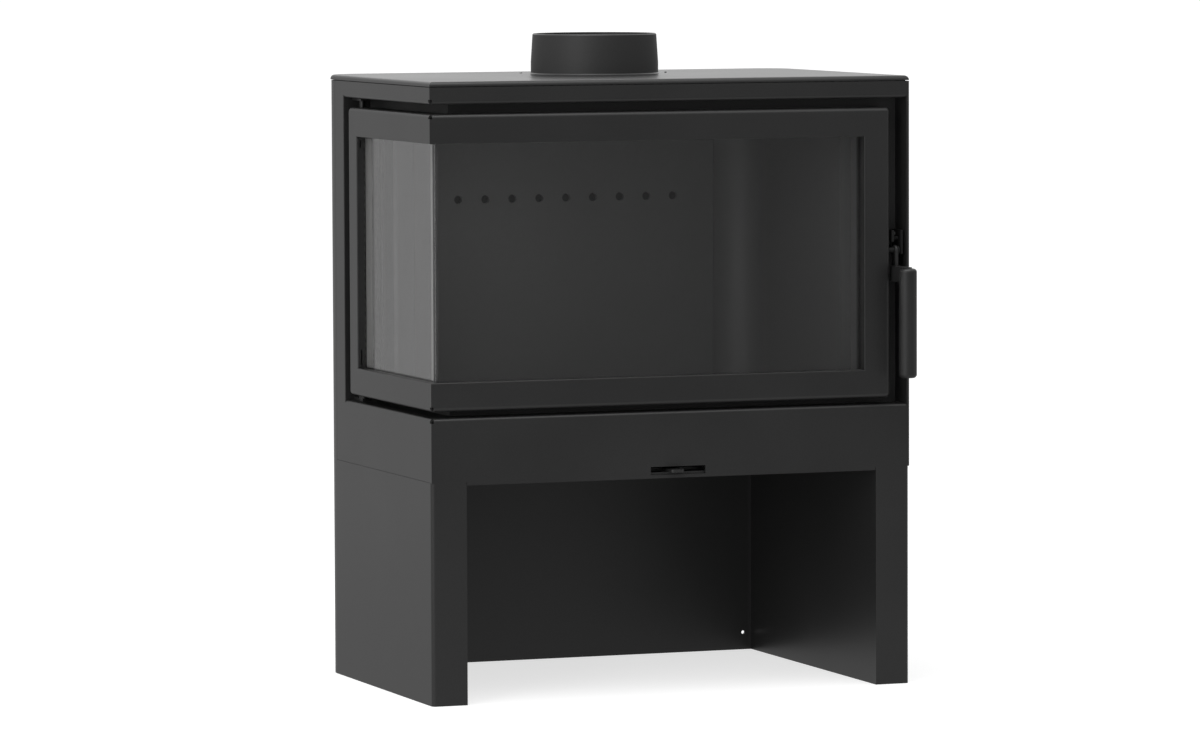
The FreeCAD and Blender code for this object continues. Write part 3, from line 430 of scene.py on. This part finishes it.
# nodes whose finish differs from their slot's
nodeFinish = {
    "back_lining": "liningCoat",
    # the right lining and the firebox's right wall take the darker lining coat, painted shade
    "right_lining": "shadedSideLiningCoat",
    "left_lining": "liningCoat",
    "firebox_right": "shadedSideLiningCoat",
    # the duct back and the glass clips take the paler duct coat, painted light
    "firebox_back": "paintedLightDuctCoat",
    "glass_clips": "paintedLightDuctCoat",
    "glass_corner_seal": "paneSealant",
    "top_plate": "topPaint",
    "striker_bracket": "latchBlack",
    "top_plate_screws": "zincSteel",
    "latch_stud": "latchBlack",
    "keeper_pin": "latchBlack",
}
for name, finish in nodeFinish.items():
    frame["nodes"][name].data.materials[0] = finishes[finish]


# door seal, a round rope that runs right round both panes

doorRope = {
    "radius": 0.0048,
    "bend": 0.010,
    "sides": 14,
    "bendSteps": 6,
    "seatWidth": 0.012,
    "seatDepth": 0.0097,
}


def makeDoorRope():
    low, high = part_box("door_seal")
    width = doorRope["seatWidth"]
    depth = doorRope["seatDepth"]
    bend = doorRope["bend"]
    frontY = low.y + depth / 2
    sideX = low.x + depth / 2
    rightX = high.x - width / 2
    rearY = high.y - width / 2
    bottom = low.z + width / 2
    top = high.z - width / 2
    corners = [
        Vector((rightX, frontY, bottom)), Vector((rightX, frontY, top)), Vector((sideX, frontY, top)),
        Vector((sideX, rearY, top)), Vector((sideX, rearY, bottom)), Vector((sideX, frontY, bottom)),
    ]
    bm = bmesh.new()
    count = len(corners)
    heading = (corners[1] - corners[0]).normalized()
    start = corners[0] + heading * bend
    turn = heading.to_track_quat("Z", "Y").to_matrix().to_4x4()
    ring = bmesh.ops.create_circle(bm, segments=doorRope["sides"], radius=doorRope["radius"],
                                   matrix=Matrix.Translation(start) @ turn)["verts"]
    edges = list({e for v in ring for e in v.link_edges})
    for i in range(count):
        here = corners[(i + 1) % count]
        after = corners[(i + 2) % count]
        along = (here - corners[i]).normalized()
        onward = (after - here).normalized()
        run = (here - corners[i]).length - 2 * bend
        grown = bmesh.ops.extrude_edge_only(bm, edges=edges)["geom"]
        verts = [g for g in grown if isinstance(g, bmesh.types.BMVert)]
        bmesh.ops.translate(bm, verts=verts, vec=along * run)
        edges = [g for g in grown
                 if isinstance(g, bmesh.types.BMEdge) and all(v in verts for v in g.verts)]
        spun = bmesh.ops.spin(bm, geom=edges, cent=here - along * bend + onward * bend,
                              axis=along.cross(onward), angle=math.pi / 2,
                              steps=doorRope["bendSteps"], use_merge=False)["geom_last"]
        edges = [g for g in spun if isinstance(g, bmesh.types.BMEdge)]
    rope = makePiece("door_rope", bm, finishes["fibreRope"], "door", "door_seal")
    for face in rope.data.polygons:
        face.use_smooth = True


makeDoorRope()
print("door rope made")


# flue collar as it is turned: its rim has a broken edge, and a bead closes its foot on the top plate

flueCollar = {
    "bore": 0.082,
    "neck": 0.086,
    "flangeThick": 0.006,
    "seat": 0.0895,
    "seatTop": 0.0165,      # height above the top plate, where the taper starts
    "rim": 0.087,
    "rimEdge": 0.0013,
    "beadHigh": 0.0018,
    "beadOut": 0.0018,
    "beadGap": 0.0002,
    "turns": 128,
    "smoothTo": 25.0,       # edges that turn by more degrees stay sharp
}


def makeTurnedRing(name, profile, finish, *nodes):
    low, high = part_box("flue_collar")
    middle = (low + high) / 2
    bm = bmesh.new()
    corners = [bm.verts.new((middle.x + radius, middle.y, z)) for radius, z in profile]
    sides = [bm.edges.new((corners[i - 1], corners[i])) for i in range(len(corners))]
    bmesh.ops.spin(bm, geom=corners + sides, cent=middle, axis=(0.0, 0.0, 1.0), angle=2 * math.pi,
                   steps=flueCollar["turns"], use_merge=True)
    piece = makePiece(name, bm, finishes[finish], "stove", *nodes)
    for face in piece.data.polygons:
        face.use_smooth = True
    piece.data.set_sharp_from_angle(angle=math.radians(flueCollar["smoothTo"]))


def makeFlueCollar():
    low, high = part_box("flue_collar")
    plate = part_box("top_plate")[1].z
    bore, neck, seat, rim = (flueCollar[k] for k in ("bore", "neck", "seat", "rim"))
    flange = (high.x - low.x) / 2
    flangeTop = low.z + flueCollar["flangeThick"]
    edge = flueCollar["rimEdge"]
    foot = plate + flueCollar["beadHigh"]
    bottom = plate + flueCollar["beadGap"]
    makeTurnedRing("turned_flue_collar", [
        (bore, low.z), (flange, low.z), (flange, flangeTop), (neck, flangeTop), (neck, foot),
        (seat, foot), (seat, plate + flueCollar["seatTop"]), (rim, high.z - edge),
        (rim - edge, high.z - edge), (rim - edge, high.z), (bore, high.z)],
        "collarPaint", "flue_collar")
    # the rim edge and the foot bead take the paler coat, a painted highlight along the turned edges
    makeTurnedRing("collar_rim_edge", [
        (rim - edge, high.z - edge), (rim, high.z - edge), (rim - edge, high.z)], "collarHighlightPaint")
    makeTurnedRing("collar_foot_bead", [
        (neck, bottom), (seat + flueCollar["beadOut"], bottom), (seat, foot), (neck, foot)],
        "collarHighlightPaint")


makeFlueCollar()
print("flue collar made")


# fibre tape on the inner face of the side pane, at its rear edge and along the corner joint

paneTape = {
    "thick": 0.0012,
    "edge": 0.0004,
    "endGap": 0.0135,
    "rearWidth": 0.0270,
    "rearLap": 0.0125,
    "cornerWidth": 0.0055,
    "cornerLap": 0.0066,
    "edgeSteps": 2,
}


def makePaneTape(name, startY, width):
    low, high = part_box("side_glass")
    bm = bmesh.new()
    bmesh.ops.create_cube(bm, size=1.0)
    bmesh.ops.scale(bm, verts=bm.verts, vec=(
        paneTape["thick"], width, high.z - low.z - 2 * paneTape["endGap"]))
    bmesh.ops.translate(bm, verts=bm.verts, vec=(
        high.x + paneTape["thick"] / 2, startY + width / 2, (low.z + high.z) / 2))
    bmesh.ops.bevel(bm, geom=list(bm.edges), offset=paneTape["edge"], affect="EDGES",
                    segments=paneTape["edgeSteps"], profile=0.5, material=-1)
    tape = makePiece(name, bm, finishes["fibreTape"], "door")


paneLow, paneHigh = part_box("side_glass")
rearStart = paneHigh.y - paneTape["rearLap"] - paneTape["rearWidth"]
makePaneTape("rear_pane_tape", rearStart, paneTape["rearWidth"])
makePaneTape("corner_pane_tape", paneLow.y + paneTape["cornerLap"], paneTape["cornerWidth"])
print("pane tapes made")


# studio: pale floor, soft light, camera

studioFloor = {
    "radius": 90.0,
    "sides": 96,
    "colour": "#b9b9b9",
    "roughness": 0.9,
    "glow": 0.68,       # added where the camera or a pane shows the floor
    "bounce": 0.50,     # added where the floor lights the stove
    "gloss": 0.46,      # all that a reflection shows of it
}


def makeFloor():
    bm = bmesh.new()
    bmesh.ops.create_circle(bm, cap_ends=True, segments=studioFloor["sides"],
                            radius=studioFloor["radius"])
    mesh = bpy.data.meshes.new("studio_floor")
    bm.to_mesh(mesh)
    bm.free()
    floor = bpy.data.objects.new("studio_floor", mesh)
    bpy.context.scene.collection.objects.link(floor)
    material, tree, shader = startMaterial("pale_studio_floor")
    shader.inputs["Base Color"].default_value = hexToLinear(studioFloor["colour"])
    shader.inputs["Roughness"].default_value = studioFloor["roughness"]
    shader.inputs["Specular IOR Level"].default_value = 0.0
    ray = addNode(tree, "ShaderNodeLightPath")
    seen = addNode(tree, "ShaderNodeMath", {"operation": "MAXIMUM"}, {
        0: ray.outputs["Is Camera Ray"], 1: ray.outputs["Is Transmission Ray"]})
    level = addNode(tree, "ShaderNodeMapRange", inputs={
        "Value": seen.outputs[0], "To Min": studioFloor["bounce"], "To Max": studioFloor["glow"]})
    white = addNode(tree, "ShaderNodeEmission", inputs={"Strength": level.outputs[0]})
    both = addNode(tree, "ShaderNodeAddShader", inputs={0: shader.outputs[0], 1: white.outputs[0]})
    mirrored = addNode(tree, "ShaderNodeEmission", inputs={"Strength": studioFloor["gloss"]})
    # a ray straight through a pane counts as glossy too, but has no glossy bounce
    reflected = addNode(tree, "ShaderNodeMath", {"operation": "MULTIPLY"}, {
        0: ray.outputs["Is Glossy Ray"], 1: ray.outputs["Glossy Depth"]})
    whole = addNode(tree, "ShaderNodeMixShader", inputs={
        0: reflected.outputs[0], 1: both.outputs[0], 2: mirrored.outputs[0]})
    tree.links.new(whole.outputs[0], tree.nodes["Material Output"].inputs["Surface"])
    mesh.materials.append(material)


# standing grey cards, which only reflections show
cards = {
    "front_card": {"grey": 0.20, "size": (6.0, 1.5), "spot": (1.0, -1.5, 0.76), "heading": 0.0},
    "left_card": {"grey": 0.52, "size": (2.2, 1.5), "spot": (-1.05, 1.6, 0.76), "heading": 20.6},
    "right_card": {"grey": 0.35, "size": (4.4, 2.0), "spot": (2.5, 0.3, 1.01), "heading": 90.0},
}


def makeCard(name, grey, size, spot, heading):
    bm = bmesh.new()
    bmesh.ops.create_grid(bm, x_segments=1, y_segments=1, size=0.5)
    bmesh.ops.scale(bm, verts=bm.verts, vec=(size[0], size[1], 1.0))
    bmesh.ops.rotate(bm, verts=bm.verts, matrix=Matrix.Rotation(math.pi / 2, 3, "X"))
    bmesh.ops.rotate(bm, verts=bm.verts, matrix=Matrix.Rotation(math.radians(heading), 3, "Z"))
    bmesh.ops.translate(bm, verts=bm.verts, vec=spot)
    mesh = bpy.data.meshes.new(name)
    bm.to_mesh(mesh)
    bm.free()
    card = bpy.data.objects.new(name, mesh)
    bpy.context.scene.collection.objects.link(card)
    material, tree = startMaterial(name)[:2]
    glow = addNode(tree, "ShaderNodeEmission", inputs={"Strength": grey})
    clear = addNode(tree, "ShaderNodeBsdfTransparent")
    ray = addNode(tree, "ShaderNodeLightPath")
    shown = addNode(tree, "ShaderNodeMixShader", inputs={
        0: ray.outputs["Glossy Depth"], 1: clear.outputs[0], 2: glow.outputs[0]})
    tree.links.new(shown.outputs[0], tree.nodes["Material Output"].inputs["Surface"])
    mesh.materials.append(material)
    for kind in ("camera", "diffuse", "shadow", "volume_scatter"):
        setattr(card, "visible_" + kind, False)


lamps = {
    "left_softbox": {
        "watts": 34.0, "size": (1.6, 2.2), "spot": (-3.2, -2.6, 1.5), "target": (0.0, 0.0, 0.5)},
    "top_softbox": {
        "watts": 45.0, "size": (3.0, 2.0), "spot": (-0.6, -0.8, 3.4), "target": (0.0, 0.0, 0.4)},
}


def makeLamp(name, watts, size, spot, target):
    lamp = bpy.data.lights.new(name, "AREA")
    lamp.shape = "RECTANGLE"
    lamp.size, lamp.size_y = size
    lamp.energy = watts
    holder = bpy.data.objects.new(name, lamp)
    holder.location = spot
    holder.rotation_euler = (Vector(target) - Vector(spot)).to_track_quat("-Z", "Y").to_euler()
    holder.visible_camera = False
    bpy.context.scene.collection.objects.link(holder)


studioAir = {"colour": "#ffffff", "lights": 0.8, "shows": 1.0}


def makeWorld():
    world = bpy.data.worlds.new("studio_air")
    bpy.context.scene.world = world
    world.use_nodes = True
    tree = world.node_tree
    sky = tree.nodes["Background"]
    # white for what the camera, a reflection or a pane shows, a little less for what lights the stove
    ray = addNode(tree, "ShaderNodeLightPath")
    seen = addNode(tree, "ShaderNodeMath", {"operation": "MAXIMUM"}, {
        0: ray.outputs["Is Camera Ray"], 1: ray.outputs["Is Glossy Ray"]})
    shown = addNode(tree, "ShaderNodeMath", {"operation": "MAXIMUM"}, {
        0: seen.outputs[0], 1: ray.outputs["Is Transmission Ray"]})
    level = addNode(tree, "ShaderNodeMapRange", inputs={
        "Value": shown.outputs[0], "To Min": studioAir["lights"], "To Max": studioAir["shows"]})
    sky.inputs["Color"].default_value = hexToLinear(studioAir["colour"])
    tree.links.new(level.outputs[0], sky.inputs["Strength"])


cameraPlace = {
    "spot": (-3.15339, -8.30647, 1.07911),
    "yaw": 20.6142,
    "pitch": 4.11826,
    "roll": -0.22388,
    "lens": 191.55,
    "sensor": 36.0,
    "farthest": 300.0,
}


def makeCamera():
    yaw, pitch, roll = (math.radians(cameraPlace[k]) for k in ("yaw", "pitch", "roll"))
    level = math.cos(pitch)
    ahead = Vector((math.sin(yaw) * level, math.cos(yaw) * level, -math.sin(pitch)))
    right = Vector((math.cos(yaw), -math.sin(yaw), 0.0))
    up = right.cross(ahead)
    right, up = (right * math.cos(roll) + up * math.sin(roll),
                 up * math.cos(roll) - right * math.sin(roll))
    lens = bpy.data.cameras.new("photo_camera")
    lens.sensor_width = cameraPlace["sensor"]
    lens.lens = cameraPlace["lens"]
    lens.clip_end = cameraPlace["farthest"]
    camera = bpy.data.objects.new("photo_camera", lens)
    turn = Matrix((right, up, -ahead)).transposed().to_4x4()
    camera.matrix_world = Matrix.Translation(cameraPlace["spot"]) @ turn
    bpy.context.scene.collection.objects.link(camera)
    bpy.context.scene.camera = camera


makeFloor()
for name, card in cards.items():
    makeCard(name, **card)
makeWorld()
for name, lamp in lamps.items():
    makeLamp(name, **lamp)
makeCamera()
bpy.context.scene.view_settings.view_transform = "Standard"
print("studio ready")
